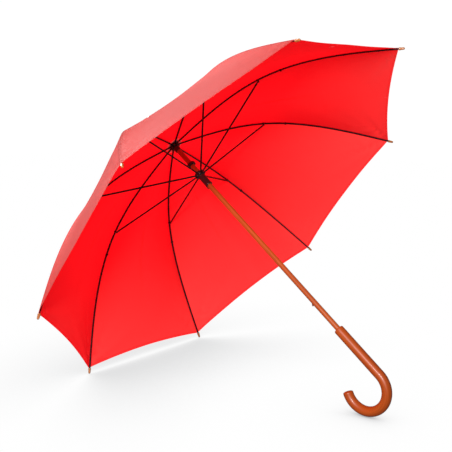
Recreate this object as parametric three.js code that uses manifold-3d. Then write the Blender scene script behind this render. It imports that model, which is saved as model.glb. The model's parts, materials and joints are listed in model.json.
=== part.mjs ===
// Stick umbrella, open, lying on two rib tips and its crook. Millimetres, +Z up.
// Each part is drawn in the umbrella's own frame: shaft along z, ferrule up, ribs' pivots at z = 0,
// crook turned towards -x. The last lines lay the umbrella down on the floor.
import * as THREE from "three";
import { mergeVertices } from "three/addons/utils/BufferGeometryUtils.js";
import Module from "manifold-3d";

// ---- driving dimensions ----
const RIB_COUNT = 8;
const RIB_LENGTH = 585; // arc from the crown pivot to the canopy's corner
const JOINT_FRACTION = 0.43; // where the stretcher meets the rib, as a share of the rib
const ROOT_SLOPE = 4.5; // degrees below the plane across the shaft, at the crown
const JOINT_SLOPE = 22.2; // at the stretcher's joint
const TIP_SLOPE = 45.6; // at the canopy's corner
const RIB_WIDTH = 3.4;
const RIB_HEIGHT = 2.6;
const STRETCHER_WIDTH = 3.2;
const STRETCHER_HEIGHT = 2.6;
const EAR_THICKNESS = 0.7;
const TIP_LENGTH = 13; // wooden tip beyond the canopy's corner
const RIB_IN_TIP = 7; // how far the rib goes on into the tip
const SHAFT_RADIUS = 6;
const HANDLE_RADIUS = 11;
const HANDLE_START = 602; // below the crown pivots
const CROOK_START = 732;
const CROOK_RADIUS = 48; // of the bend's centreline
const CROOK_ANGLE = 210; // degrees of bend
const FERRULE_TOP = 109.5; // above the crown pivots
const RUNNER_DEPTH = 104; // stretchers' pivots below the ribs' pivots, open
const RUNNER_LENGTH = 38; // from those pivots down to the lip
const COLLAR_DEPTH = 70; // stop collar's middle
const HAND_CATCH_DEPTH = 522; // middle of the catch that holds the umbrella closed
const SCALLOP = 11; // how far the rim curves in between two ribs
const FABRIC = 0.3; // thickness of the canopy pieces
const GAP = 0.3; // between pieces that touch

const EYE_RADIUS = 1.6; // flattened eyes that the ribs and stretchers turn on
const WIRE_RADIUS = 0.5;
const TIP_BORE = Math.hypot(RIB_WIDTH, RIB_HEIGHT) / 2 + GAP; // of the wooden tips
const ROUND = 24; // segments round a turned part

const BORE = SHAFT_RADIUS + GAP; // of what sits on the shaft
const CROWN_PIVOT = SHAFT_RADIUS + EYE_RADIUS + 1.6; // radius of the ribs' pivots
const RUNNER_PIVOT = SHAFT_RADIUS + EYE_RADIUS + 2.9; // radius of the stretchers' pivots
const PIN_DROP = RIB_HEIGHT / 2 + EYE_RADIUS + 1; // stretcher's pivot below the rib's centreline
const FABRIC_OFFSET = RIB_HEIGHT / 2 + 1.2; // canopy's inner face above the rib's centreline

const STEP = (2 * Math.PI) / RIB_COUNT;
const HALF = STEP / 2;
const rad = (a) => (a * Math.PI) / 180;

const wasm = await Module();
wasm.setup();

// ---- rib line: slope grows towards the joint, then more slowly to the tip ----
const JOINT_ARC = RIB_LENGTH * JOINT_FRACTION;

function slopeAt(arc) {
  const root = rad(ROOT_SLOPE);
  const joint = rad(JOINT_SLOPE);
  const tip = rad(TIP_SLOPE);
  if (arc < JOINT_ARC) {
    const t = arc / JOINT_ARC;
    return root + (joint - root) * t * t;
  }
  const t = Math.max(0, (RIB_LENGTH - arc) / (RIB_LENGTH - JOINT_ARC));
  return tip - (tip - joint) * t * t;
}

function ribPoint(arc) {
  const steps = Math.max(1, Math.ceil(arc / 5));
  const d = arc / steps;
  let r = CROWN_PIVOT;
  let z = 0;
  for (let i = 0; i < steps; i++) {
    const a = slopeAt((i + 0.5) * d);
    r += d * Math.cos(a);
    z -= d * Math.sin(a);
  }
  return { r, z, a: slopeAt(arc) };
}

// a point off the rib's line: up is away from the shaft's handle end
function offRib(arc, up) {
  const p = ribPoint(arc);
  return { r: p.r + up * Math.sin(p.a), z: p.z + up * Math.cos(p.a), a: p.a };
}

// ---- helpers ----
function toManifold(geometry) {
  const g = geometry.clone();
  g.deleteAttribute("normal");
  g.deleteAttribute("uv");
  const m = mergeVertices(g, 1e-4);
  const mesh = new wasm.Mesh({
    numProp: 3,
    vertProperties: new Float32Array(m.attributes.position.array),
    triVerts: new Uint32Array(m.index.array),
  });
  mesh.merge();
  return new wasm.Manifold(mesh);
}

function toGeometry(solid) {
  const mesh = solid.getMesh();
  const g = new THREE.BufferGeometry();
  g.setAttribute("position", new THREE.BufferAttribute(mesh.vertProperties, 3));
  g.setIndex(new THREE.BufferAttribute(mesh.triVerts, 1));
  return g;
}

function material(name, color, roughness, metalness) {
  return new THREE.MeshStandardMaterial({ name, color, roughness, metalness });
}

// turned part: profile of [radius, z], from the lower end up, closed on itself or on the axis
function turned(profile, segments = ROUND) {
  const g = new THREE.LatheGeometry(profile.map(([r, z]) => new THREE.Vector2(r, z)), segments);
  g.rotateX(Math.PI / 2);
  const clean = g.clone();
  clean.deleteAttribute("normal");
  clean.deleteAttribute("uv");
  return mergeVertices(clean, 1e-4);
}

// a ring: outer radius at each height, and a straight bore
function sleeve(bore, outer) {
  const low = outer[0][1];
  const high = outer[outer.length - 1][1];
  return turned([[bore, low], ...outer, [bore, high], [bore, low]]);
}

// solid with the right way out, whichever way its outline ran
function solid(geometry) {
  const m = toManifold(geometry);
  if (m.volume() > 0) {
    return m;
  }
  const g = geometry.clone();
  const index = g.index.array;
  for (let i = 0; i < index.length; i += 3) {
    const swap = index[i];
    index[i] = index[i + 1];
    index[i + 1] = swap;
  }
  return toManifold(g);
}

// plate: an outline in the radial plane (x outwards, z up), as thick as given along y
function plate(outline, thickness, holes = []) {
  const shape = new THREE.Shape(outline.map(([x, z]) => new THREE.Vector2(x, z)));
  for (const [x, z, radius] of holes) {
    const hole = new THREE.Path();
    hole.absarc(x, z, radius, 0, 2 * Math.PI, true);
    shape.holes.push(hole);
  }
  const g = new THREE.ExtrudeGeometry(shape, { depth: thickness, bevelEnabled: false, curveSegments: 4 });
  g.translate(0, 0, -thickness / 2);
  g.rotateX(Math.PI / 2);
  g.deleteAttribute("normal");
  g.deleteAttribute("uv");
  return mergeVertices(g, 1e-4);
}

function box(x0, x1, y0, y1, z0, z1) {
  const g = new THREE.BoxGeometry(x1 - x0, y1 - y0, z1 - z0);
  g.translate((x0 + x1) / 2, (y0 + y1) / 2, (z0 + z1) / 2);
  return toManifold(g);
}

// pin along y at (x, z)
function pin(x, z, radius, length) {
  const g = new THREE.CylinderGeometry(radius, radius, length, 10);
  g.translate(x, 0, z);
  return toManifold(g);
}

function ring(radius, z, wire) {
  const g = new THREE.TorusGeometry(radius, wire, 5, 36);
  g.translate(0, 0, z);
  return toManifold(g);
}

// half circle of points round (x, z), starting at angle a0 and turning by turn
function arcPoints(x, z, radius, a0, turn, steps) {
  const out = [];
  for (let i = 0; i <= steps; i++) {
    const a = a0 + (turn * i) / steps;
    out.push([x + radius * Math.cos(a), z + radius * Math.sin(a)]);
  }
  return out;
}

// ---- ribs ----
function ribBand(from, to, steps, half) {
  const top = [];
  const bottom = [];
  for (let i = 0; i <= steps; i++) {
    const arc = from + ((to - from) * i) / steps;
    const up = offRib(arc, half);
    const down = offRib(arc, -half);
    top.push([up.r, up.z]);
    bottom.push([down.r, down.z]);
  }
  return { top, bottom };
}

function ribInner() {
  const half = RIB_HEIGHT / 2;
  const { top, bottom } = ribBand(EYE_RADIUS, JOINT_ARC - GAP / 2, 10, half);
  const root = arcPoints(CROWN_PIVOT, 0, EYE_RADIUS, rad(40 - ROOT_SLOPE), rad(280), 8);
  const outline = [...root, ...bottom, ...top.reverse()];
  let rib = solid(plate(outline, RIB_WIDTH, [[CROWN_PIVOT, 0, WIRE_RADIUS + GAP]]));
  // two ears under the rib carry the stretcher's rivet
  const at = offRib(JOINT_ARC - 4, -PIN_DROP);
  const wide = STRETCHER_WIDTH + 2 * GAP;
  const ear = [
    ...arcPoints(at.r, at.z, EYE_RADIUS + GAP, Math.PI - at.a, Math.PI, 6),
    ...[offRib(JOINT_ARC - 1.6, half - 0.3), offRib(JOINT_ARC - 6.4, half - 0.3)].map((p) => [p.r, p.z]),
  ];
  for (const side of [-1, 1]) {
    const g = plate(ear, EAR_THICKNESS);
    g.translate(0, side * (wide / 2 + EAR_THICKNESS / 2), 0);
    rib = rib.add(solid(g));
  }
  rib = rib.add(pin(at.r, at.z, WIRE_RADIUS, wide + 2 * EAR_THICKNESS + 0.8));
  const ears = wide + 2 * EAR_THICKNESS;
  const saddle = [
    offRib(JOINT_ARC - 6.2, half + 0.4),
    offRib(JOINT_ARC - 6.2, half - 0.4),
    offRib(JOINT_ARC - 1.8, half - 0.4),
    offRib(JOINT_ARC - 1.8, half + 0.4),
  ].map((p) => [p.r, p.z]);
  rib = rib.add(solid(plate(saddle, ears)));
  return toGeometry(rib);
}

function ribOuter() {
  const half = RIB_HEIGHT / 2;
  const { top, bottom } = ribBand(JOINT_ARC + GAP / 2, RIB_LENGTH + RIB_IN_TIP, 12, half);
  return toGeometry(solid(plate([...bottom, ...top.reverse()], RIB_WIDTH)));
}

// wooden bead over the rib's end, turned about the rib's last direction
function ribTip() {
  const bore = TIP_BORE;
  const deep = RIB_IN_TIP + 2 * GAP;
  const g = turned(
    [
      [bore, 0], [bore + 0.7, 0], [bore + 0.9, 1.5], [bore + 0.8, 5], [bore + 0.4, 0.69 * TIP_LENGTH],
      [bore + 0.05, TIP_LENGTH - 1.2], [1.2, TIP_LENGTH], [0, TIP_LENGTH], [0, deep], [bore, deep], [bore, 0],
    ],
    12,
  );
  const end = ribPoint(RIB_LENGTH + GAP);
  g.rotateY(Math.PI / 2 + end.a);
  g.translate(end.r, 0, end.z);
  return toGeometry(solid(g));
}

// ---- stretcher, in the radial plane, from the runner to the rib ----
function stretcherEnds() {
  const joint = offRib(JOINT_ARC - 4, -PIN_DROP);
  return { in: { r: RUNNER_PIVOT, z: -RUNNER_DEPTH }, out: joint };
}

function stretcher() {
  const e = stretcherEnds();
  const half = STRETCHER_HEIGHT / 2;
  const dr = e.out.r - e.in.r;
  const dz = e.out.z - e.in.z;
  const length = Math.hypot(dr, dz);
  const a = Math.atan2(dz, dr);
  const outline = [
    ...arcPoints(0, 0, EYE_RADIUS, rad(55), rad(250), 8),
    [length - 2.2, -half],
    ...arcPoints(length, 0, EYE_RADIUS, rad(-125), rad(250), 8),
    [length - 2.2, half],
    [2.2, half],
  ];
  outline.splice(9, 0, [2.2, -half]);
  const hole = WIRE_RADIUS + GAP;
  const g = plate(outline, STRETCHER_WIDTH, [[0, 0, hole], [length, 0, hole]]);
  g.rotateY(-a);
  g.translate(e.in.r, 0, e.in.z);
  return toGeometry(solid(g));
}

// ---- canopy: one strip centred on each rib, flat from the rib to the middle of the gore ----
function canopyLine(arc, up) {
  return offRib(arc, FABRIC_OFFSET + up);
}

// point on the strip; v runs from -1 to 1 across it, up is the height above its inner face
function canopyPoint(arc, v, up) {
  const p = canopyLine(arc, up);
  const mid = p.r * Math.cos(HALF);
  const x = p.r + (mid * Math.cos(HALF) - p.r) * Math.abs(v);
  const y = Math.sign(v) * (Math.abs(v) * mid * Math.sin(HALF));
  const trim = (GAP / 2) * Math.abs(v);
  return [x + trim * Math.sin(HALF), y - Math.sign(v) * trim * Math.cos(HALF), p.z];
}

// arc at which the strip crosses the plane square to the rib at its joint
function splitArc(v, shift) {
  const j = ribPoint(JOINT_ARC);
  let low = JOINT_ARC * 0.5;
  let high = RIB_LENGTH;
  for (let i = 0; i < 40; i++) {
    const mid = (low + high) / 2;
    const [x, , z] = canopyPoint(mid, v, 0);
    const along = (x - j.r) * Math.cos(j.a) - (z - j.z) * Math.sin(j.a);
    if (along < shift) {
      low = mid;
    } else {
      high = mid;
    }
  }
  return (low + high) / 2;
}

function rimArc(v) {
  const t = 1 - Math.abs(v);
  return RIB_LENGTH - SCALLOP * (1 - t * t);
}

function strip(startOf, endOf, rows, columns) {
  const position = [];
  const index = [];
  const across = 2 * columns + 1;
  const sheet = rows * across + across;
  for (const up of [0, FABRIC]) {
    for (let i = 0; i <= rows; i++) {
      for (let c = -columns; c <= columns; c++) {
        const v = c / columns;
        const from = startOf(v);
        const arc = from + ((endOf(v) - from) * i) / rows;
        position.push(...canopyPoint(arc, v, up));
      }
    }
  }
  const quad = (a, b, c, d) => index.push(a, b, c, a, c, d);
  const at = (layer, i, c) => layer * sheet + i * across + c;
  for (let i = 0; i < rows; i++) {
    for (let c = 0; c < across - 1; c++) {
      quad(at(0, i, c), at(0, i, c + 1), at(0, i + 1, c + 1), at(0, i + 1, c));
      quad(at(1, i, c), at(1, i + 1, c), at(1, i + 1, c + 1), at(1, i, c + 1));
    }
    quad(at(0, i, 0), at(0, i + 1, 0), at(1, i + 1, 0), at(1, i, 0));
    const last = across - 1;
    quad(at(0, i, last), at(1, i, last), at(1, i + 1, last), at(0, i + 1, last));
  }
  for (let c = 0; c < across - 1; c++) {
    quad(at(0, 0, c), at(1, 0, c), at(1, 0, c + 1), at(0, 0, c + 1));
    quad(at(0, rows, c), at(0, rows, c + 1), at(1, rows, c + 1), at(1, rows, c));
  }
  const g = new THREE.BufferGeometry();
  g.setAttribute("position", new THREE.BufferAttribute(new Float32Array(position), 3));
  g.setIndex(index);
  return toGeometry(solid(g));
}

function canopyInner() {
  return strip(() => 3, (v) => splitArc(v, -GAP / 2), 8, 3);
}

function canopyOuter() {
  return strip((v) => splitArc(v, GAP / 2), rimArc, 9, 4);
}

// ---- parts on the shaft ----
const SHAFT_TOP = 22; // shaft's end inside the ferrule, above the crown pivots
const SOCKET_DEPTH = 44; // how far the shaft goes into the handle
const CATCH_TRAVEL = 4;
const CATCH_THICKNESS = 1.6;
const CATCH_LENGTH = 30;
const CATCH_BACK = 1.5; // strip's back face, on the crook's side of the shaft's axis
const CATCH_FACE = SHAFT_RADIUS - 1.4; // its front face, under the shaft's surface
const LIP = -RUNNER_DEPTH - RUNNER_LENGTH;
const TOP_CATCH_NOSE = LIP - GAP; // where the open runner rests
const HAND_CATCH_NOSE = -HAND_CATCH_DEPTH - 4.5; // what the closed runner hooks on to

// flat steel strip in the shaft; its nose stands out on the crook's side, with its square face
// towards the crown (up 1) or the handle (up -1)
function springCatch(nose, up) {
  const peak = SHAFT_RADIUS + CATCH_TRAVEL;
  const outline = [
    [-CATCH_BACK, nose + up * 4],
    [-CATCH_FACE, nose + up * 4],
    [-CATCH_FACE, nose],
    [-peak, nose],
    [-peak, nose - up * 2.5],
    [-CATCH_FACE, nose - up * 9],
    [-CATCH_FACE, nose + up * (4 - CATCH_LENGTH)],
    [-CATCH_BACK, nose + up * (4 - CATCH_LENGTH)],
  ];
  return toGeometry(solid(plate(outline, CATCH_THICKNESS)));
}

function catchSlot(nose, up) {
  const half = CATCH_THICKNESS / 2 + GAP;
  const outside = -2 * SHAFT_RADIUS;
  const back = CATCH_TRAVEL - CATCH_BACK + GAP;
  const near = nose + up * (4 + GAP);
  const far = nose + up * (4 - GAP - CATCH_LENGTH);
  return box(outside, back, -half, half, Math.min(near, far), Math.max(near, far));
}

function shaft() {
  const top = SHAFT_TOP;
  const bottom = -HANDLE_START - SOCKET_DEPTH;
  let s = solid(turned([[0, bottom], [SHAFT_RADIUS, bottom], [SHAFT_RADIUS, top], [0, top]]));
  s = s.subtract(catchSlot(TOP_CATCH_NOSE, 1));
  s = s.subtract(catchSlot(HAND_CATCH_NOSE, -1));
  return toGeometry(s);
}

function handle() {
  const path = new THREE.CurvePath();
  const end = -HANDLE_START - 5;
  const start = new THREE.Vector3(0, 0, end);
  const bend = new THREE.Vector3(0, 0, -CROOK_START);
  path.add(new THREE.LineCurve3(start, bend));
  const points = [];
  const turns = 18;
  for (let i = 0; i <= turns; i++) {
    const a = (rad(CROOK_ANGLE) * i) / turns;
    const x = -CROOK_RADIUS * (1 - Math.cos(a));
    points.push(new THREE.Vector3(x, 0, -CROOK_START - CROOK_RADIUS * Math.sin(a)));
  }
  // rings square to the centreline, so that the tube keeps its radius all along
  const rings = [[start, 0], ...points.map((p, i) => [p, (rad(CROOK_ANGLE) * i) / turns])];
  const position = [];
  const index = [];
  const addRing = (centre, a, radius) => {
    for (let s = 0; s < ROUND; s++) {
      const t = (2 * Math.PI * s) / ROUND;
      const out = radius * Math.cos(t);
      position.push(centre.x - out * Math.cos(a), radius * Math.sin(t), centre.z + out * Math.sin(a));
    }
  };
  const last = points[turns];
  const a1 = rad(CROOK_ANGLE);
  const dir = new THREE.Vector3(-Math.sin(a1), 0, -Math.cos(a1));
  addRing(new THREE.Vector3(0, 0, -HANDLE_START), 0, HANDLE_RADIUS - 1.6);
  addRing(new THREE.Vector3(0, 0, -HANDLE_START - 1.6), 0, HANDLE_RADIUS - 0.4);
  for (const [centre, a] of rings) {
    addRing(centre, a, HANDLE_RADIUS);
  }
  addRing(last.clone().addScaledVector(dir, 1.6), a1, HANDLE_RADIUS - 0.6);
  addRing(last.clone().addScaledVector(dir, 2.6), a1, HANDLE_RADIUS - 1.9);
  const count = rings.length + 4;
  for (let i = 0; i < count - 1; i++) {
    for (let s = 0; s < ROUND; s++) {
      const n = (s + 1) % ROUND;
      const a = i * ROUND;
      const b = a + ROUND;
      index.push(a + s, b + s, b + n, a + s, b + n, a + n);
    }
  }
  for (let s = 1; s < ROUND - 1; s++) {
    index.push(0, s, s + 1);
    const b = (count - 1) * ROUND;
    index.push(b, b + s + 1, b + s);
  }
  const g = new THREE.BufferGeometry();
  g.setAttribute("position", new THREE.BufferAttribute(new Float32Array(position), 3));
  g.setIndex(index);
  const bottom = -HANDLE_START - SOCKET_DEPTH - GAP;
  const mouth = -HANDLE_START + 2;
  const bore = solid(turned([[0, bottom], [BORE, bottom], [BORE, mouth], [0, mouth]]));
  return toGeometry(solid(g).subtract(bore));
}

// notched head: slots for the ribs or stretchers, and a groove for the wire they turn on
function notched(body, pivotRadius, pivotZ, width, reach, low, high) {
  let m = body;
  for (let k = 0; k < RIB_COUNT; k++) {
    const floor = pivotRadius - EYE_RADIUS - GAP;
    const half = width / 2 + GAP;
    const slot = box(floor, reach, -half, half, low, high);
    m = m.subtract(slot.rotate([0, 0, ((k + 0.5) * 360) / RIB_COUNT]));
  }
  const w = WIRE_RADIUS + GAP;
  const top = high + 1;
  const groove = turned([
    [pivotRadius - w, pivotZ - w], [pivotRadius + w, pivotZ - w],
    [pivotRadius + w, top], [pivotRadius - w, top], [pivotRadius - w, pivotZ - w],
  ]);
  return m.subtract(solid(groove));
}

function crown() {
  const skirt = BORE + 1.2;
  const head = CROWN_PIVOT + EYE_RADIUS + 1.5;
  const body = sleeve(BORE, [
    [skirt - 0.3, -19], [skirt, -18], [skirt, -7.6],
    [head - 0.5, -7.4], [head, -6.6], [head, 0.9], [head - 0.7, 1.6],
  ]);
  return toGeometry(notched(solid(body), CROWN_PIVOT, 0, RIB_WIDTH, head + 8, -7.55, 3));
}

function runner() {
  const p = -RUNNER_DEPTH;
  const skirt = BORE + 1.9;
  const head = RUNNER_PIVOT + EYE_RADIUS + 1;
  const body = sleeve(BORE, [
    [skirt + 0.4, LIP], [skirt + 0.8, LIP + 0.8], [skirt + 0.8, LIP + 2.4], [skirt + 0.1, LIP + 4.5],
    [skirt, p - 9], [skirt + 0.2, p - 7], [head - 0.5, p - 5.2], [head, p - 4.4], [head, p + 3.4],
    [head - 0.7, p + 4.2],
  ]);
  let m = notched(solid(body), RUNNER_PIVOT, p, STRETCHER_WIDTH, head + 7, p - 9, p + 6);
  // window that the catches' noses pass through
  const half = CATCH_THICKNESS / 2 + GAP + 0.2;
  m = m.subtract(box(-2 * head, -CATCH_BACK, -half, half, LIP + 3, p - 2.4));
  return toGeometry(m);
}

function stopCollar() {
  const z = -COLLAR_DEPTH;
  const rim = BORE + 4.5;
  const body = sleeve(BORE, [[rim - 1, z - 3.5], [rim, z - 2.6], [rim, z + 2.6], [rim - 1, z + 3.5]]);
  return toGeometry(solid(body));
}

const CAP_LOW = FERRULE_TOP - 12; // steel cap's lower edge
const SPIGOT = 2.6; // radius of the ferrule's end inside the cap
const SPIGOT_TOP = FERRULE_TOP - 7;

// ferrule: dished foot over the canopy's middle, then a long tapering sleeve
function ferrule() {
  const foot = FABRIC_OFFSET + FABRIC + 1.6;
  const body = [
    [BORE, foot], [BORE + 8.2, foot - 0.4], [BORE + 8.7, foot + 0.4], [BORE + 6.2, foot + 2],
    [BORE + 2.7, foot + 4], [BORE + 1.7, foot + 7], [BORE + 1.1, SHAFT_TOP + 18],
    [6, FERRULE_TOP - 16], [5.4, CAP_LOW - GAP], [SPIGOT, CAP_LOW - GAP], [SPIGOT, SPIGOT_TOP],
    [0, SPIGOT_TOP], [0, SHAFT_TOP + GAP], [BORE, SHAFT_TOP + GAP], [BORE, foot],
  ];
  return toGeometry(solid(turned(body)));
}

// steel cap over the ferrule's spigot, with the flat end that stands on the ground
function ferruleTip() {
  const low = CAP_LOW;
  const cap = [
    [SPIGOT + GAP, low], [5, low], [5.3, low + 1], [5.1, low + 7], [4.2, FERRULE_TOP - 1], [3.2, FERRULE_TOP],
    [0, FERRULE_TOP], [0, SPIGOT_TOP + GAP], [SPIGOT + GAP, SPIGOT_TOP + GAP], [SPIGOT + GAP, low],
  ];
  return toGeometry(solid(turned(cap)));
}

// small round of cloth between the ribs' roots and the canopy
function rosette() {
  const thick = 0.4;
  const edge = CROWN_PIVOT + 12.8;
  const top = RIB_HEIGHT / 2 + 0.65;
  const bend = CROWN_PIVOT + 4.8;
  const under = [[BORE + GAP, top], [bend - 3.5, top], [bend, top - 0.6], [edge, top - 1.23]];
  const over = under.map(([r, z]) => [r, z + thick]).reverse();
  return toGeometry(solid(turned([...under, ...over, under[0]])));
}

// ---- assembly ----
const red = material("canopy_cloth", 0xd8161f, 0.7, 0);
const steel = material("black_steel", 0x17161a, 0.4, 0.6);
const black = material("black_plastic", 0x141416, 0.35, 0);
const shaftWood = material("shaft_wood", 0x8a3d17, 0.3, 0);
const handleWood = material("handle_wood", 0xa04a1a, 0.28, 0);
const tipWood = material("tip_wood", 0xb98243, 0.5, 0);
const bright = material("bright_steel", 0xb9b9bd, 0.3, 0.9);
const pink = material("rosette_cloth", 0xe8b3ae, 0.8, 0);

const group = new THREE.Group();
group.name = "stick_umbrella";
const umbrella = new THREE.Group();
umbrella.name = "umbrella";
group.add(umbrella);

function place(name, geometry, look, turn = 0) {
  const mesh = new THREE.Mesh(geometry, look.clone());
  mesh.name = name;
  mesh.rotation.z = turn;
  umbrella.add(mesh);
}

const perRib = [
  ["rib_inner", ribInner(), steel],
  ["rib_outer", ribOuter(), steel],
  ["rib_tip", ribTip(), tipWood],
  ["stretcher", stretcher(), steel],
  ["canopy_inner", canopyInner(), red],
  ["canopy_outer", canopyOuter(), red],
];
for (let k = 1; k <= RIB_COUNT; k++) {
  for (const [name, geometry, look] of perRib) {
    place(`${name}_${k}`, geometry, look, (k - 0.5) * STEP);
  }
}
place("shaft", shaft(), shaftWood);
place("handle", handle(), handleWood);
place("crown", crown(), black);
place("crown_wire", toGeometry(ring(CROWN_PIVOT, 0, WIRE_RADIUS)), bright);
place("runner", runner(), black);
place("runner_wire", toGeometry(ring(RUNNER_PIVOT, -RUNNER_DEPTH, WIRE_RADIUS)), bright);
place("stop_collar", stopCollar(), black);
place("ferrule", ferrule(), black);
place("ferrule_tip", ferruleTip(), bright);
place("top_catch", springCatch(TOP_CATCH_NOSE, 1), bright);
place("hand_catch", springCatch(HAND_CATCH_NOSE, -1), bright);
place("rosette", rosette(), pink);

// ---- lay it down: the plane under the two lowest rib tips and the crook is the floor ----
// the shaft's elevation comes from the line that touches the tips' ends and the crook's outer side
function lowestAt(elevation) {
  const tip = ribPoint(RIB_LENGTH + GAP);
  const up = [Math.cos(elevation), Math.sin(elevation)];
  let tips = Infinity;
  const widths = [[TIP_BORE + 0.05, TIP_LENGTH - 1.2], [1.2, TIP_LENGTH], [TIP_BORE + 0.4, 0.69 * TIP_LENGTH]];
  for (const [radius, along] of widths) {
    const r = tip.r + along * Math.cos(tip.a);
    const z = tip.z - along * Math.sin(tip.a);
    tips = Math.min(tips, -r * Math.cos(HALF) * up[0] + z * up[1] - radius);
  }
  const crook = -CROOK_RADIUS * up[0] - CROOK_START * up[1] - CROOK_RADIUS - HANDLE_RADIUS;
  return { tips, crook };
}

let lowAngle = rad(5);
let highAngle = rad(80);
for (let i = 0; i < 50; i++) {
  const mid = (lowAngle + highAngle) / 2;
  const { tips, crook } = lowestAt(mid);
  if (crook > tips) {
    lowAngle = mid;
  } else {
    highAngle = mid;
  }
}
umbrella.rotation.y = -(Math.PI / 2 - (lowAngle + highAngle) / 2);
group.updateMatrixWorld(true);
const bounds = new THREE.Box3();
umbrella.traverse((o) => {
  if (o.isMesh) {
    bounds.union(new THREE.Box3().setFromObject(o, true));
  }
});
umbrella.position.set(-(bounds.min.x + bounds.max.x) / 2, -(bounds.min.y + bounds.max.y) / 2, -bounds.min.z);

export default group;
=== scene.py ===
"""Stick umbrella, open, lying on two rib tips and its crook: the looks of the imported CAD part."""
import json
import math

import bmesh
import bpy
import numpy as np
from mathutils import Matrix, Quaternion, Vector

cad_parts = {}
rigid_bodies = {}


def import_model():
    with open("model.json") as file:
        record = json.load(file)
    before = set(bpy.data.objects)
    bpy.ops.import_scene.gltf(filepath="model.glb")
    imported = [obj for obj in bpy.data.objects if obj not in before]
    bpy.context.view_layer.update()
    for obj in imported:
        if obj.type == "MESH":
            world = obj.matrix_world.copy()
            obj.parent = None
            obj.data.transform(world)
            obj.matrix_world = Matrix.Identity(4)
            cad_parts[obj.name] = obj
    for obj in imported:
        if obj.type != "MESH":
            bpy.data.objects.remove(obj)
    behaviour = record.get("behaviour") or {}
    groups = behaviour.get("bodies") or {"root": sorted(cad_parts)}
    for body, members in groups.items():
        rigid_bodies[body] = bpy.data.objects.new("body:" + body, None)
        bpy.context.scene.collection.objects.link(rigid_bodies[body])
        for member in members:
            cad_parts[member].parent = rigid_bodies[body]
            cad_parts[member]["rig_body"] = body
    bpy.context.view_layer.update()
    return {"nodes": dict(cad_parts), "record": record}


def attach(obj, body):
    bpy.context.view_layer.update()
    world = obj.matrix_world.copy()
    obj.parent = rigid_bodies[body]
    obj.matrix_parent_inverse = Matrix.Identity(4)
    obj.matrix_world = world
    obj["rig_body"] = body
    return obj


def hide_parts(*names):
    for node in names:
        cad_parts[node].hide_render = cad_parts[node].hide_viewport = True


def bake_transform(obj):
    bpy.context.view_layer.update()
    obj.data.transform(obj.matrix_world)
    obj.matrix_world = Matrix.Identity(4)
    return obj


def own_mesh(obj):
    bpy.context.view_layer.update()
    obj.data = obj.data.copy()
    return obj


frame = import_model()
scene = bpy.context.scene

# ---- the umbrella's own frame: shaft along z, ferrule up, rib pivots at z = 0, crook towards -x ----
# The ferrule's flat end is a mount of the record, so its place and direction give the whole frame.
MM = 0.001
RIBS = 8
HALF = math.pi / RIBS
RIB_LENGTH = 585 * MM
JOINT_ARC = 0.43 * RIB_LENGTH
ROOT_SLOPE, JOINT_SLOPE, TIP_SLOPE = (math.radians(a) for a in (4.5, 22.2, 45.6))
CROWN_PIVOT = 9.2 * MM  # radius of the ribs' pivots
RUNNER_PIVOT = 10.5 * MM  # radius of the stretchers' pivots
RUNNER_DEPTH = 104 * MM  # those pivots below the ribs' pivots
PIN_DROP = 3.9 * MM  # stretcher's outer pivot below the rib's centreline
EYE_RADIUS = 1.6 * MM
SCALLOP = 11 * MM  # how far the rim curves in between two ribs
CLOTH_OFFSET = 2.65 * MM  # cloth above the rib's centreline
FERRULE_TOP = 109.5 * MM
SHAFT_TOP = 22 * MM
SHAFT_RADIUS = 6 * MM
SOCKET_DEPTH = 44 * MM  # how far the shaft goes into the handle
HANDLE_RADIUS = 11 * MM
HANDLE_START = 602 * MM
CROOK_START = 732 * MM
CROOK_RADIUS = 48 * MM
CROOK_ANGLE = math.radians(210)

end = next(m for m in frame["record"]["mounts"] if m["name"] == "ferrule_end")
along = Vector(end["axis"]).normalized()
turn = math.atan2(along.x, along.z)
origin = Vector(end["pos_m"]) - along * FERRULE_TOP
PLACE = Matrix.Translation(origin) @ Matrix.Rotation(turn, 4, "Y")


def world(p):
    return PLACE @ Vector(p)


def direction(v):
    return (PLACE.to_3x3() @ Vector(v)).normalized()


def azimuth(k):
    """Angle of rib k round the shaft."""
    return (k - 0.5) * 2 * HALF


# ---- camera ----
cam = bpy.data.objects.new("camera", bpy.data.cameras.new("camera"))
scene.collection.objects.link(cam)
scene.camera = cam
cam.data.lens = 68.34
cam.data.sensor_width = 36
cam.location = (1.1722, -1.5274, 0.6864)
look = Vector((-0.62557, 0.76347, -0.16056))
cam.rotation_mode = "QUATERNION"
cam.rotation_quaternion = look.to_track_quat("-Z", "Y") @ Quaternion((0, 0, 1), math.radians(0.47))
cam.data.clip_start, cam.data.clip_end = 0.05, 50


# ---- rib line, as in the CAD ----
def slope_at(arc):
    if arc < JOINT_ARC:
        return ROOT_SLOPE + (JOINT_SLOPE - ROOT_SLOPE) * (arc / JOINT_ARC) ** 2
    t = max(0.0, (RIB_LENGTH - arc) / (RIB_LENGTH - JOINT_ARC))
    return TIP_SLOPE - (TIP_SLOPE - JOINT_SLOPE) * t * t


LINE_STEP = 1 * MM
LINE_STEPS = 640  # a little past the tip
LINE = [(CROWN_PIVOT, 0.0)]  # radius and height at each step along the rib
for step in range(LINE_STEPS):
    slope = slope_at((step + 0.5) * LINE_STEP)
    LINE.append((LINE[-1][0] + LINE_STEP * math.cos(slope), LINE[-1][1] - LINE_STEP * math.sin(slope)))


def rib_point(arc, up=0.0):
    """Radius, height and slope at an arc along the rib, and up above its line."""
    i = min(max(int(arc / LINE_STEP), 0), LINE_STEPS - 1)
    t = arc / LINE_STEP - i
    (r0, z0), (r1, z1) = LINE[i], LINE[i + 1]
    a = slope_at(arc)
    return r0 + (r1 - r0) * t + up * math.sin(a), z0 + (z1 - z0) * t + up * math.cos(a), a


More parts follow.
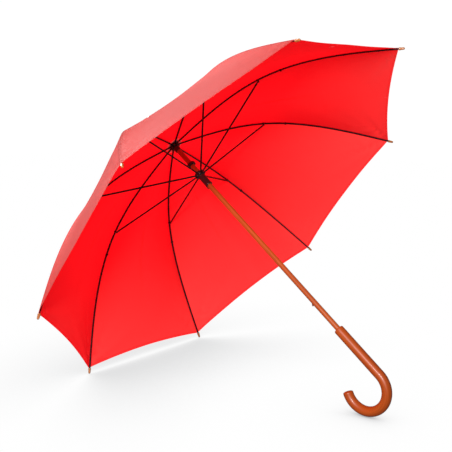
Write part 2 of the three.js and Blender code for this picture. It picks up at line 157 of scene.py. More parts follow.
# ---- shader helpers ----
def nodes_of(name):
    m = bpy.data.materials.new(name)
    m.use_nodes = True
    tree = m.node_tree
    bsdf = tree.nodes["Principled BSDF"]
    return m, tree, bsdf


def link(tree, a, out, b, into):
    tree.links.new(a.outputs[out], b.inputs[into])


def node(tree, kind, **values):
    n = tree.nodes.new(kind)
    for key, value in values.items():
        if key in n.inputs.keys():
            n.inputs[key].default_value = value
        else:
            setattr(n, key, value)
    return n


def ramp(tree, stops):
    n = tree.nodes.new("ShaderNodeValToRGB")
    el = n.color_ramp.elements
    while len(el) > 1:
        el.remove(el[-1])
    el[0].position, el[0].color = stops[0][0], (*stops[0][1], 1)
    for pos, col in stops[1:]:
        e = el.new(pos)
        e.color = (*col, 1)
    return n


def math_node(tree, op, a, b=None):
    n = tree.nodes.new("ShaderNodeMath")
    n.operation = op
    for i, x in enumerate((a, b)):
        if x is None:
            continue
        if isinstance(x, (int, float)):
            n.inputs[i].default_value = x
        else:
            tree.links.new(x, n.inputs[i])
    return n.outputs[0]


def product(tree, *factors):
    value = factors[0]
    for factor in factors[1:]:
        value = math_node(tree, "MULTIPLY", value, factor)
    return value


def rise(tree, value, zero_at, one_at):
    """0 up to 1 as the value goes from zero_at to one_at, and level beyond them."""
    n = node(tree, "ShaderNodeMapRange")
    tree.links.new(value, n.inputs["Value"])
    n.inputs["From Min"].default_value = zero_at
    n.inputs["From Max"].default_value = one_at
    return n.outputs["Result"]


def stretched_noise(tree, uv, scale, detail=3.0, roughness=0.6, distortion=0.0):
    """Noise over the unrolled surface, with its own scale each way."""
    mapping = node(tree, "ShaderNodeMapping")
    link(tree, uv, "UV", mapping, "Vector")
    mapping.inputs["Scale"].default_value = (*scale, 1)
    noise = node(tree, "ShaderNodeTexNoise", Scale=1.0, Detail=detail, Roughness=roughness)
    noise.inputs["Distortion"].default_value = distortion
    link(tree, mapping, "Vector", noise, "Vector")
    return noise.outputs["Fac"]


def tinted(tree, amount, colour, tint):
    """The colour, mixed with a fixed tint by an amount."""
    mix = node(tree, "ShaderNodeMix", data_type="RGBA")
    tree.links.new(amount, mix.inputs[0])
    tree.links.new(colour, mix.inputs[6])
    mix.inputs[7].default_value = (*tint, 1)
    return mix.outputs[2]


def add_bump(tree, bsdf, height, strength):
    bump = node(tree, "ShaderNodeBump", Strength=strength, Distance=1.0)
    tree.links.new(height, bump.inputs["Height"])
    link(tree, bump, "Normal", bsdf, "Normal")
    return bump


def let_light_through(tree, bsdf, colour, share):
    """Mixes the surface with light that comes through the cloth."""
    through = node(tree, "ShaderNodeBsdfTranslucent")
    through.inputs["Color"].default_value = (*colour, 1)
    mix = node(tree, "ShaderNodeMixShader", Fac=share)
    link(tree, bsdf, "BSDF", mix, 1)
    link(tree, through, "BSDF", mix, 2)
    link(tree, mix, "Shader", tree.nodes["Material Output"], "Surface")
    return through


# ---- mesh helpers ----
def smooth_shaded(me):
    me.polygons.foreach_set("use_smooth", [True] * len(me.polygons))


def mesh_object(name, verts, faces, uvs=None):
    me = bpy.data.meshes.new(name)
    me.from_pydata([tuple(v) for v in verts], [], faces)
    me.validate()
    me.update()
    smooth_shaded(me)
    o = bpy.data.objects.new(name, me)
    scene.collection.objects.link(o)
    if uvs is not None:
        layer = me.uv_layers.new(name="UVMap")
        idx = [l.vertex_index for l in me.loops]
        layer.data.foreach_set("uv", [c for i in idx for c in uvs[i]])
    return o


def tube(name, points, frames, section):
    """Sweeps a section, a list of (side, up), along points with a (side, up) pair of directions at each."""
    verts = []
    for p, (side, up) in zip(points, frames):
        verts += [Vector(p) + Vector(side) * x + Vector(up) * y for x, y in section]
    faces = []
    n = len(section)
    for i in range(len(points) - 1):
        for j in range(n):
            a, b = i * n + j, i * n + (j + 1) % n
            faces.append((a, b, b + n, a + n))
    faces.append(tuple(range(n - 1, -1, -1)))
    faces.append(tuple(range((len(points) - 1) * n, len(points) * n)))
    return mesh_object(name, verts, faces)


def lathe(name, profile, segments, place):
    """Turns a profile of (radius, height) round z of a frame that is set by place."""
    verts, faces = [], []
    rings = []
    for r, z in profile:
        if r == 0:
            rings.append([len(verts)])
            verts.append(place @ Vector((0, 0, z)))
        else:
            rings.append(list(range(len(verts), len(verts) + segments)))
            for s in range(segments):
                a = 2 * math.pi * s / segments
                verts.append(place @ Vector((r * math.cos(a), r * math.sin(a), z)))
    for a, b in zip(rings, rings[1:]):
        for s in range(segments):
            t = (s + 1) % segments
            if len(a) == 1:
                faces.append((a[0], b[t], b[s]))
            elif len(b) == 1:
                faces.append((a[s], a[t], b[0]))
            else:
                faces.append((a[s], a[t], b[t], b[s]))
    return mesh_object(name, verts, faces)


def cut_edges(obj, degrees=35):
    obj.data.set_sharp_from_angle(angle=math.radians(degrees))


def apply_modifiers(o):
    dg = bpy.context.evaluated_depsgraph_get()
    me = bpy.data.meshes.new_from_object(o.evaluated_get(dg))
    o.modifiers.clear()
    o.data = me


def round_edges(o, width, degrees, harden=False):
    """Bevels the edges that are sharper than so many degrees."""
    b = o.modifiers.new("edge", "BEVEL")
    b.width = width
    b.segments = 2
    b.limit_method = "ANGLE"
    b.angle_limit = math.radians(degrees)
    b.harden_normals = harden
    apply_modifiers(o)


def face_outwards(o, merge=0.0):
    """Turns all faces outwards, after merging points that are closer than merge."""
    bm = bmesh.new()
    bm.from_mesh(o.data)
    if merge:
        bmesh.ops.remove_doubles(bm, verts=bm.verts, dist=merge)
    bmesh.ops.recalc_face_normals(bm, faces=bm.faces)
    bm.to_mesh(o.data)
    bm.free()


def refined(name, material, degrees, bevel):
    """A rounder copy of a CAD node, which it stands for."""
    source = frame["nodes"][name]
    me = source.data.copy()
    o = bpy.data.objects.new(name + "_v", me)
    scene.collection.objects.link(o)
    bm = bmesh.new()
    bm.from_mesh(me)
    bmesh.ops.remove_doubles(bm, verts=bm.verts, dist=0.002 * MM)
    bmesh.ops.dissolve_limit(bm, angle_limit=math.radians(1), verts=bm.verts, edges=bm.edges)
    bm.to_mesh(me)
    bm.free()
    me.materials.clear()
    me.materials.append(material)
    smooth_shaded(me)
    if bevel:
        round_edges(o, bevel, degrees, harden=True)
    cut_edges(o, degrees)
    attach(o, source["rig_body"])
    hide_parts(name)
    return o


# ---- materials of the object ----
WEAVE_PITCH = 0.42 * MM
STITCH_PITCH = 2.8 * MM


def stitch_row(t, distance, row_at, along):
    """A broken row of stitches, row_at from an edge."""
    gap = math_node(t, "ABSOLUTE", math_node(t, "SUBTRACT", distance, row_at))
    wave = math_node(t, "SINE", product(t, along, 2 * math.pi / STITCH_PITCH))
    return product(t, rise(t, gap, 0.4 * MM, 0.2 * MM), math_node(t, "GREATER_THAN", wave, -0.2))


def cloth_material():
    """Red cloth, laid out in metres: UVMap runs along the rib, edge holds distances from seam and rim."""
    m, t, bsdf = nodes_of("red_cloth")
    uv = node(t, "ShaderNodeUVMap", uv_map="UVMap")
    place = t.nodes.new("ShaderNodeSeparateXYZ")
    link(t, uv, "UV", place, "Vector")
    edges = t.nodes.new("ShaderNodeSeparateXYZ")
    link(t, node(t, "ShaderNodeUVMap", uv_map="edge"), "UV", edges, "Vector")
    from_seam, from_rim = edges.outputs["X"], edges.outputs["Y"]
    # plain weave, with uneven threads that show as faint streaks along and across the cloth
    warp, weft = (math_node(t, "SINE", product(t, place.outputs[axis], 2 * math.pi / WEAVE_PITCH))
                  for axis in ("X", "Y"))
    streaks = math_node(t, "ADD", stretched_noise(t, uv, (900, 18)), stretched_noise(t, uv, (14, 900)))
    # hem of doubled cloth along the rim and a seam allowance along each rib, both stitched
    doubled = math_node(t, "MAXIMUM", rise(t, from_rim, 6.6 * MM, 6.0 * MM),
                        rise(t, from_seam, 4.2 * MM, 3.6 * MM))
    stitch = math_node(t, "MAXIMUM", stitch_row(t, from_rim, 5.2 * MM, place.outputs["X"]),
                       stitch_row(t, from_seam, 2.4 * MM, place.outputs["Y"]))
    tone = ramp(t, [(0.25, (0.84, 0.098, 0.088)), (0.75, (0.93, 0.124, 0.110))])
    t.links.new(product(t, streaks, 0.5), tone.inputs["Fac"])
    hemmed = tinted(t, product(t, doubled, 0.22), tone.outputs["Color"], (0.55, 0.02, 0.02))
    stitched = tinted(t, product(t, stitch, 0.35), hemmed, (0.4, 0.0, 0.0))
    t.links.new(stitched, bsdf.inputs["Base Color"])
    bsdf.inputs["Roughness"].default_value = 0.60
    bsdf.inputs["Specular IOR Level"].default_value = 0.12
    height = math_node(t, "ADD", product(t, warp, weft, 0.04 * MM), product(t, streaks, 0.06 * MM))
    height = math_node(t, "ADD", height, product(t, doubled, 0.3 * MM))
    height = math_node(t, "SUBTRACT", height, product(t, stitch, 0.3 * MM))
    bump = add_bump(t, bsdf, height, 0.7)
    through = let_light_through(t, bsdf, (1.0, 0.001, 0.006), 0.63)
    link(t, bump, "Normal", through, "Normal")
    return m


def wood_material(name, light, mid, dark, rough, coat, scale=1.0):
    """Varnished wood: grain along the piece, broad clouds of tone and dark pores."""
    m, t, bsdf = nodes_of(name)
    uv = node(t, "ShaderNodeUVMap", uv_map="UVMap")
    grain = stretched_noise(t, uv, (260 * scale, 9 * scale), 5.0, 0.62, 0.6)
    pores = stretched_noise(t, uv, (1400 * scale, 60 * scale), 2.0, 0.5)
    clouds = stretched_noise(t, uv, (30 * scale, 5 * scale), 2.0, 0.5)
    colour = ramp(t, [(0.30, dark), (0.48, mid), (0.68, light)])
    t.links.new(math_node(t, "ADD", product(t, grain, 0.55), product(t, clouds, 0.45)), colour.inputs["Fac"])
    spots = rise(t, pores, 0.62, 0.74)
    speckled = tinted(t, product(t, spots, 0.5), colour.outputs["Color"], [c * 0.6 for c in dark])
    t.links.new(speckled, bsdf.inputs["Base Color"])
    bsdf.inputs["Roughness"].default_value = rough
    bsdf.inputs["Specular IOR Level"].default_value = 0.3
    bsdf.inputs["Coat Weight"].default_value = coat
    bsdf.inputs["Coat Roughness"].default_value = 0.12
    add_bump(t, bsdf, product(t, math_node(t, "SUBTRACT", grain, spots), 0.1 * MM), 0.35)
    return m


def hard_material(name, base, rough, metallic=0.0, spec=0.5, coat=0.0, scratch=0.25, grain=700):
    """Moulded plastic or metal: a fine uneven surface and slightly uneven gloss."""
    m, t, bsdf = nodes_of(name)
    where = node(t, "ShaderNodeTexCoord")
    small = node(t, "ShaderNodeTexNoise", Scale=float(grain), Detail=3.0, Roughness=0.6)
    link(t, where, "Object", small, "Vector")
    wide = node(t, "ShaderNodeTexNoise", Scale=60.0, Detail=3.0, Roughness=0.55)
    link(t, where, "Object", wide, "Vector")
    tone = ramp(t, [(0.3, tuple(c * 0.82 for c in base)), (0.7, tuple(min(1, c * 1.15) for c in base))])
    link(t, wide, "Fac", tone, "Fac")
    link(t, tone, "Color", bsdf, "Base Color")
    gloss = node(t, "ShaderNodeMapRange")
    link(t, wide, "Fac", gloss, "Value")
    gloss.inputs["To Min"].default_value = rough * 0.8
    gloss.inputs["To Max"].default_value = min(1.0, rough * 1.25)
    link(t, gloss, "Result", bsdf, "Roughness")
    bsdf.inputs["Metallic"].default_value = metallic
    bsdf.inputs["Specular IOR Level"].default_value = spec
    bsdf.inputs["Coat Weight"].default_value = coat
    bump = node(t, "ShaderNodeBump", Strength=scratch, Distance=0.1 * MM)
    link(t, small, "Fac", bump, "Height")
    link(t, bump, "Normal", bsdf, "Normal")
    return m


def rosette_material():
    """Thin pale cloth that picks up the cover's colour."""
    m, t, bsdf = nodes_of("pale_cloth")
    waves = node(t, "ShaderNodeTexNoise", Scale=900.0, Detail=2.0, Roughness=0.6)
    link(t, node(t, "ShaderNodeTexCoord"), "Object", waves, "Vector")
    tone = ramp(t, [(0.3, (0.97, 0.78, 0.74)), (0.7, (1.0, 0.88, 0.84))])
    link(t, waves, "Fac", tone, "Fac")
    link(t, tone, "Color", bsdf, "Base Color")
    bsdf.inputs["Roughness"].default_value = 0.8
    bsdf.inputs["Sheen Weight"].default_value = 0.3
    bump = node(t, "ShaderNodeBump", Strength=0.4, Distance=0.2 * MM)
    link(t, waves, "Fac", bump, "Height")
    link(t, bump, "Normal", bsdf, "Normal")
    let_light_through(t, bsdf, (1.0, 0.9, 0.88), 0.5)
    return m


CLOTH = cloth_material()
PALE = rosette_material()
SHAFT_WOOD = wood_material("shaft_varnish", (0.40, 0.088, 0.014), (0.31, 0.058, 0.009),
                           (0.19, 0.029, 0.004), rough=0.30, coat=0.45)
HANDLE_WOOD = wood_material("handle_varnish", (0.34, 0.058, 0.005), (0.27, 0.040, 0.003),
                            (0.16, 0.020, 0.001), rough=0.42, coat=0.08)
TIP_WOOD = wood_material("tip_varnish", (0.40, 0.15, 0.04), (0.33, 0.105, 0.028), (0.22, 0.06, 0.014),
                         rough=0.4, coat=0.4, scale=2.0)
RIB_STEEL = hard_material("rib_enamel", (0.012, 0.010, 0.012), 0.35, metallic=0.3, coat=0.2)
BLACK = hard_material("black_moulding", (0.012, 0.010, 0.011), 0.30, coat=0.15, scratch=0.3)
STEEL = hard_material("bright_metal", (0.62, 0.62, 0.64), 0.28, metallic=1.0, scratch=0.3)
CATCH_LACQUER = hard_material("lacquered_catch", (0.22, 0.035, 0.010), 0.35, metallic=0.4, coat=0.2,
                              scratch=0.3)
THREAD = hard_material("black_thread", (0.015, 0.012, 0.013), 0.8, spec=0.3, scratch=0.8, grain=2500)


# ---- cover: each rib carries a strip to either side, in three bands ----
SAG = 7 * MM  # how far the cloth is pulled in between two ribs
SHADED_SAG = 46 * MM  # the sag that the shading shows; the mesh keeps clear of the shaft when it folds
ROOT_ARC = 3 * MM  # where the cloth starts on the rib
BAND_ARC = 120 * MM  # where the first band ends, which folds less narrowly than the rest
COLUMNS = 14  # from a rib to the middle of its gore


def creases(k, w, s, corner_distance, corner_angle):
    """How far the cloth stands out: creases that fan out from the stitched corner, and a slow unevenness."""
    up = 0.0
    if w > 0:
        fade = math.exp(-corner_distance / 0.06) * min(1.0, corner_distance / 0.012)
        near_rib = math.sin(math.pi * min(1.0, w * 6) / 2)
        up += 0.0016 * fade * math.sin(9 * corner_angle + 0.7 * k) * near_rib
        fade = math.exp(-corner_distance / 0.12) * min(1.0, corner_distance / 0.02)
        up += 0.0007 * fade * math.sin(23 * corner_angle + 1.9 * k) * min(1.0, w * 5)
    return up + 0.0011 * math.sin(7.3 * s * math.pi + 1.7 * k) * math.sin(math.pi * w) ** 2 * s


def cloth_xyz(k, arc, v, sag):
    """Point on the cover near rib k; v runs from -1 to 1, from one mid-gore to the next."""
    r, z, a = rib_point(arc, CLOTH_OFFSET)
    w = abs(v)
    s = arc / RIB_LENGTH
    mid = r * math.cos(HALF)
    x = r + (mid * math.cos(HALF) - r) * w
    y = v * mid * math.sin(HALF)
    # taut cloth is pulled in between the ribs, most of all halfway out
    pull = sag * math.sin(math.pi * min(1.0, s)) ** 1.3 * (1 - (1 - w) ** 2)
    x -= pull * math.sin(a) * math.cos(HALF * w)
    z -= pull * math.cos(a)
    tip_r, tip_z, _ = rib_point(RIB_LENGTH, CLOTH_OFFSET)
    corner_distance = math.hypot(tip_r - x, tip_z - z, y)
    up = creases(k, w, s, corner_distance, abs(math.atan2(y, tip_r - x)))
    x += up * math.sin(a)
    z += up * math.cos(a)
    c, sn = math.cos(azimuth(k)), math.sin(azimuth(k))
    return Vector((x * c - y * sn, x * sn + y * c, z))


def split_arc(v):
    """Where the cover crosses the plane square to the rib at its joint."""
    joint_r, joint_z, joint_a = rib_point(JOINT_ARC)
    low, high = 0.5 * JOINT_ARC, RIB_LENGTH
    for _ in range(30):
        mid = (low + high) / 2
        r, z, _a = rib_point(mid, CLOTH_OFFSET)
        x = r + (r * math.cos(HALF) ** 2 - r) * abs(v)
        if (x - joint_r) * math.cos(joint_a) - (z - joint_z) * math.sin(joint_a) < 0:
            low = mid
        else:
            high = mid
    return (low + high) / 2


def rim_arc(v):
    t = 1 - abs(v)
    return RIB_LENGTH - SCALLOP * (1 - t * t)


def shown_normal(k, side, arc, w):
    """Normal of the more deeply hanging cover."""
    reach = 0.6 * MM
    v = side * w
    along = (cloth_xyz(k, min(arc + reach, RIB_LENGTH + 2 * MM), v, SHADED_SAG)
             - cloth_xyz(k, arc - reach, v, SHADED_SAG))
    near, far = max(w - 0.004, 1e-5), min(w + 0.004, 1.0)
    across = cloth_xyz(k, arc, side * far, SHADED_SAG) - cloth_xyz(k, arc, side * near, SHADED_SAG)
    n = along.cross(across).normalized()
    return direction(n if n.z > 0 else -n)


def cloth_half(name, k, side, start, finish, rows, body, cad):
    """One band of the strip on one side of rib k, from the arc start(v) to the arc finish(v)."""
    verts, uvs, edge, normals, faces = [], [], [], [], []
    for i in range(rows + 1):
        for j in range(COLUMNS + 1):
            w = j / COLUMNS
            v = side * w
            arc = start(v) + (finish(v) - start(v)) * i / rows
            lateral = w * rib_point(arc, CLOTH_OFFSET)[0] * math.cos(HALF) * math.sin(HALF)
            verts.append(PLACE @ cloth_xyz(k, arc, v, SAG))
            normals.append(tuple(shown_normal(k, side, arc, w)))
            uvs.append((side * lateral, arc))
            edge.append((lateral, rim_arc(v) - arc))
    for i in range(rows):
        for j in range(COLUMNS):
            a = i * (COLUMNS + 1) + j
            b = a + COLUMNS + 1
            faces.append((a, b, b + 1, a + 1) if side > 0 else (a, a + 1, b + 1, b))
    o = mesh_object(name, verts, faces, uvs)
    layer = o.data.uv_layers.new(name="edge")
    layer.data.foreach_set("uv", [c for l in o.data.loops for c in edge[l.vertex_index]])
    o.data.normals_split_custom_set_from_vertices(normals)
    o.data.materials.append(CLOTH)
    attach(o, body)
    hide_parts(cad)
    return o


def fold(o, arc):
    """Gives the half strip a mesh of its own."""
    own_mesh(o)


# name, first and last arc, rows, body, CAD node, slope and tilt of the fold, width kept when closed
BANDS = (
    ("root", lambda v: ROOT_ARC, lambda v: BAND_ARC, 14,
     "rib_in", "canopy_inner", JOINT_SLOPE, math.radians(7.4), 0.27),
    ("inner", lambda v: BAND_ARC, split_arc, 14,
     "rib_in", "canopy_inner", JOINT_SLOPE, math.radians(8.2), 0.16),
    ("outer", split_arc, rim_arc, 34,
     "rib_out", "canopy_outer", math.radians(34), math.radians(11.7), 0.10),
)


def make_cover(k):
    for side, tag in ((-1, "a"), (1, "b")):
        for band, start, finish, rows, body, cad, slope, tilt, keep in BANDS:
            cloth = cloth_half(f"cover_{band}_{k}{tag}", k, side, start, finish, rows,
                               f"{body}_{k}", f"{cad}_{k}")
            fold(cloth, (start(0) + finish(0)) / 2)


# ---- ribs and stretchers ----
WIDE, TALL = 1.7 * MM, 1.3 * MM  # half the width and height of the fluted strip
FLUTE_WIDE, FLUTE_TOP = 1.05 * MM, 0.5 * MM  # the groove in its underside
STRIP = [(-WIDE, TALL), (WIDE, TALL), (WIDE, -TALL), (FLUTE_WIDE, -TALL), (FLUTE_WIDE, FLUTE_TOP),
         (-FLUTE_WIDE, FLUTE_TOP), (-FLUTE_WIDE, -TALL), (-WIDE, -TALL)]
TIE_ARC = 306 * MM  # where thread ties the cover to the rib


def strip_directions(phi, a):
    """Sideways and upwards at a slope, in the row frame."""
    side = direction((-math.sin(phi), math.cos(phi), 0))
    up = direction((math.cos(phi) * math.sin(a), math.sin(phi) * math.sin(a), math.cos(a)))
    return side, up


def in_plane(phi, r, z):
    """Place at a radius and height in the plane of a rib."""
    return world((r * math.cos(phi), r * math.sin(phi), z))


def on_rib(phi, arc, up=0.0):
    return in_plane(phi, *rib_point(arc, up)[:2])


def round_outline(x, z, radius, start, turn, steps):
    """Points on part of a circle."""
    angles = [start + turn * i / steps for i in range(steps + 1)]
    return [(x + radius * math.cos(a), z + radius * math.sin(a)) for a in angles]


def rounded_plate(name, phi, outline, thickness, material, bevel=0.15 * MM, offset=0.0):
    """A flat piece in the plane of a rib: outline of (radius, height), thickness along the tangent."""
    c, s = math.cos(phi), math.sin(phi)
    verts = []
    for y in (offset - thickness / 2, offset + thickness / 2):
        verts += [world((r * c - y * s, r * s + y * c, z)) for r, z in outline]
    n = len(outline)
    faces = [tuple(range(n)), tuple(range(2 * n - 1, n - 1, -1))]
    faces += [(j, n + j, n + (j + 1) % n, (j + 1) % n) for j in range(n)]
    o = mesh_object(name, verts, faces)
    face_outwards(o)
    round_edges(o, bevel, 40)
    cut_edges(o, 50)
    o.data.materials.append(material)
    return o


def cylinder(name, centre, axis, radius, length, material):
    bm = bmesh.new()
    bmesh.ops.create_cone(bm, cap_ends=True, segments=16, radius1=radius, radius2=radius, depth=length)
    me = bpy.data.meshes.new(name)
    bm.to_mesh(me)
    bm.free()
    o = bpy.data.objects.new(name, me)
    scene.collection.objects.link(o)
    me.transform(Matrix.Translation(centre) @ Vector(axis).to_track_quat("Z", "Y").to_matrix().to_4x4())
    smooth_shaded(me)
    round_edges(o, 0.12 * MM, 50)
    cut_edges(o, 50)
    o.data.materials.append(material)
    return o


def join(name, parts):
    bpy.ops.object.select_all(action="DESELECT")
    for p in parts:
        p.select_set(True)
    bpy.context.view_layer.objects.active = parts[0]
    bpy.ops.object.join()
    o = bpy.context.view_layer.objects.active
    o.name = name
    return o


def make_rib(k, phi):
    """One fluted steel strip with a flattened eye at its root, which bends at the stretcher's joint."""
    arcs = [*np.linspace(5 * MM, JOINT_ARC - 14 * MM, 22),
            *np.linspace(JOINT_ARC - 12 * MM, JOINT_ARC + 12 * MM, 13),
            *np.linspace(JOINT_ARC + 14 * MM, RIB_LENGTH + 6.5 * MM, 30)]
    directions = [strip_directions(phi, rib_point(a)[2]) for a in arcs]
    strip = tube(f"rib_{k}", [on_rib(phi, a) for a in arcs], directions, STRIP)
    cut_edges(strip, 40)
    strip.data.materials.append(RIB_STEEL)
    eye = round_outline(CROWN_PIVOT, 0, EYE_RADIUS, math.radians(35), math.radians(280), 14)
    neck = [rib_point(6.5 * MM, up)[:2] for up in (-TALL, TALL)]
    root = rounded_plate(f"root_{k}", phi, eye + neck, 2.9 * MM, RIB_STEEL)
    rib = join(f"rib_{k}", [strip, root])
    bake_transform(rib)
    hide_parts(f"rib_inner_{k}", f"rib_outer_{k}")
    return rib


def make_bracket(k, phi, pivot):
    """Saddle over the rib, two ears under it and the stretcher's rivet at the pivot."""
    r, z, slope = pivot
    ear = round_outline(r, z, 1.9 * MM, math.pi - slope, math.pi, 10)
    ear += [rib_point(JOINT_ARC - back * MM, TALL)[:2] for back in (1.4, 6.6)]
    ears = [rounded_plate(f"ear_{k}_{side}", phi, ear, 0.7 * MM, RIB_STEEL, 0.1 * MM, side * 2.25 * MM)
            for side in (-1, 1)]
    corners = ((6.4, 1.75), (6.4, 1.2), (1.6, 1.2), (1.6, 1.75))
    outline = [rib_point(JOINT_ARC - back * MM, up * MM)[:2] for back, up in corners]
    saddle = rounded_plate(f"saddle_{k}", phi, outline, 5.2 * MM, RIB_STEEL)
    tangent = direction((-math.sin(phi), math.cos(phi), 0))
    rivet = cylinder(f"rivet_{k}", in_plane(phi, r, z), tangent, 0.6 * MM, 6.2 * MM, STEEL)
    bracket = join(f"bracket_{k}", [*ears, saddle, rivet])
    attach(bracket, f"rib_in_{k}")


def make_tie(k, phi):
    """Four turns of thread round the rib."""
    side, upward = strip_directions(phi, rib_point(TIE_ARC)[2])
    along = upward.cross(side)
    steps, sides = 20, 6
    turns = []
    for turn in range(4):
        centre = on_rib(phi, TIE_ARC + turn * 0.85 * MM, -0.65 * MM)
        verts, faces = [], []
        for x, y in round_outline(0, 0, 1.0, 0, 2 * math.pi, steps)[:steps]:
            spoke = side * (2.9 * MM * x) + upward * (2.7 * MM * y)
            outward = spoke.normalized()
            verts += [centre + spoke + outward * u + along * v
                      for u, v in round_outline(0, 0, 0.45 * MM, 0, 2 * math.pi, sides)[:sides]]
        for i in range(steps):
            for b in range(sides):
                i2, b2 = (i + 1) % steps, (b + 1) % sides
                faces.append((i * sides + b, i2 * sides + b, i2 * sides + b2, i * sides + b2))
        turns.append(mesh_object(f"tie_{k}_{turn}", verts, faces))
        turns[-1].data.materials.append(THREAD)
    tie = join(f"tie_{k}", turns)
    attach(tie, f"rib_out_{k}")


def make_stretcher(k, phi, pivot):
    """A fluted strip with flattened ends, from the runner to the rib."""
    inner = Vector((RUNNER_PIVOT, -RUNNER_DEPTH))
    outer = Vector(pivot[:2])
    length = (outer - inner).length
    d = (outer - inner).normalized()
    n = Vector((-d.y, d.x))

    def at(u, h=0.0):
        return tuple(inner + d * u + n * h)

    ends = []
    for u0, way in ((0.0, 1), (length, -1)):
        ring = round_outline(0, 0, EYE_RADIUS, math.radians(50), math.radians(260), 12)
        outline = [at(u0 + way * x, way * y) for x, y in ring]
        outline += [at(u0 + way * 9 * MM, way * h) for h in (-1.25 * MM, 1.25 * MM)]
        ends.append(rounded_plate(f"end_{k}_{way}", phi, outline, 2.8 * MM, RIB_STEEL, 0.12 * MM))
    spine = [in_plane(phi, *at(u)) for u in (6.5 * MM, length * 0.5, length - 6.5 * MM)]
    directions = [strip_directions(phi, -math.atan2(d.y, d.x))] * 3
    bar = tube(f"stretcher_{k}_bar", spine, directions, [(x * 0.94, z) for x, z in STRIP])
    cut_edges(bar, 40)
    bar.data.materials.append(RIB_STEEL)
    stretcher = join(f"stretcher_v_{k}", [bar] + ends)
    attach(stretcher, f"stretcher_{k}")
    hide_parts(f"stretcher_{k}")


# radius and distance from the cover's corner: socket for the rib, collar, neck and rounded end
TIP_PROFILE = ((2.3, 0.35), (2.5, 0.0), (2.95, 0.05), (3.25, 0.5), (3.32, 1.4), (3.25, 3.0), (2.95, 3.7),
               (2.75, 4.4), (2.8, 6.0), (2.8, 8.5), (2.6, 10.5), (2.15, 12.0), (1.4, 12.75), (0.0, 13.0))


def make_tip(k, phi):
    """Turned wooden tip on the rib's end."""
    r, z, a = rib_point(RIB_LENGTH + 0.3 * MM)
    place = PLACE @ Matrix.Rotation(phi, 4, "Z") @ Matrix.Translation((r, 0, z))
    place = place @ Matrix.Rotation(math.pi / 2 + a, 4, "Y")
    tip = lathe(f"tip_{k}", [(p * MM, q * MM) for p, q in TIP_PROFILE], 24, place)
    face_outwards(tip)
    layer = tip.data.uv_layers.new(name="UVMap")
    inverse = place.inverted()
    for loop in tip.data.loops:
        q = inverse @ tip.data.vertices[loop.vertex_index].co
        layer.data[loop.index].uv = (math.atan2(q.y, q.x) * 2.5 * MM + k * 0.1, q.z)
    tip.data.materials.append(TIP_WOOD)
    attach(tip, f"rib_out_{k}")
    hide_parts(f"rib_tip_{k}")


for k in range(1, RIBS + 1):
    phi = azimuth(k)
    pivot = rib_point(JOINT_ARC - 4 * MM, -PIN_DROP)
    rib = make_rib(k, phi)
    make_bracket(k, phi, pivot)
    make_tie(k, phi)
    make_stretcher(k, phi, pivot)
    make_tip(k, phi)
    make_cover(k)

# ---- parts on the shaft ----
for name, material, degrees, bevel, slot_name in (
    ("crown", BLACK, 35, 0.25 * MM, "black_plastic"),
    ("runner", BLACK, 35, 0.3 * MM, "black_plastic"),
    ("stop_collar", BLACK, 35, 0.3 * MM, "black_plastic"),
    ("ferrule", BLACK, 35, 0.3 * MM, "black_plastic"),
    ("ferrule_tip", STEEL, 35, 0.25 * MM, "bright_steel"),
    ("crown_wire", STEEL, 35, 0, "bright_steel"),
    ("runner_wire", STEEL, 35, 0, "bright_steel"),
    ("top_catch", CATCH_LACQUER, 30, 0.2 * MM, "bright_steel"),
    ("hand_catch", CATCH_LACQUER, 30, 0.2 * MM, "bright_steel"),
):
    refined(name, material, degrees, bevel)

# the slots that the catches sit in
SLOT_LENGTH = 30.6 * MM
SLOT_WIDTH = 2.2 * MM
SLOT_BACK = 2.8 * MM  # its floor, beyond the shaft's axis
SLOT_MIDDLES = (-153.3 * MM, -515.5 * MM)
CUT_LENGTH = 20 * MM


def cut_slot(o, middle):
    bpy.ops.mesh.primitive_cube_add(size=1)
    cutter = bpy.context.object
    cutter.data.transform(Matrix.Diagonal((CUT_LENGTH, SLOT_WIDTH, SLOT_LENGTH, 1)))
    cutter.data.transform(Matrix.Translation((SLOT_BACK - CUT_LENGTH / 2, 0, middle)))
    cutter.data.transform(PLACE)
    b = o.modifiers.new("slot", "BOOLEAN")
    b.operation = "DIFFERENCE"
    b.object = cutter
    b.solver = "EXACT"
    apply_modifiers(o)
    bpy.data.objects.remove(cutter)


def unroll(o):
    """UVs in metres round and along the shaft, without a seam inside a face."""
    inverse = PLACE.inverted()
    for layer in list(o.data.uv_layers):
        o.data.uv_layers.remove(layer)
    layer = o.data.uv_layers.new(name="UVMap")
    for poly in o.data.polygons:
        centre = inverse @ poly.center
        base = math.atan2(centre.y, centre.x)
        for i in poly.loop_indices:
            q = inverse @ o.data.vertices[o.data.loops[i].vertex_index].co
            angle = math.atan2(q.y, q.x)
            if angle - base > math.pi:
                angle -= 2 * math.pi
            if base - angle > math.pi:
                angle += 2 * math.pi
            layer.data[i].uv = (angle * SHAFT_RADIUS, q.z)


def make_shaft():
    """Smooth varnished rod with the two catch slots cut in it."""
    low = -HANDLE_START - SOCKET_DEPTH
    profile = [(0, low), (SHAFT_RADIUS, low)]
    profile += [(SHAFT_RADIUS, z) for z in np.linspace(low + 6 * MM, SHAFT_TOP - 1 * MM, 34)]
    profile += [(SHAFT_RADIUS - 0.4 * MM, SHAFT_TOP), (0, SHAFT_TOP)]
    shaft = lathe("shaft_rod", profile, 64, PLACE)
    face_outwards(shaft)
    for middle in SLOT_MIDDLES:
        cut_slot(shaft, middle)
    cut_edges(shaft, 40)
    unroll(shaft)
    shaft.data.materials.clear()
    shaft.data.materials.append(SHAFT_WOOD)
    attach(shaft, "shaft")
    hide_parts("shaft")


make_shaft()

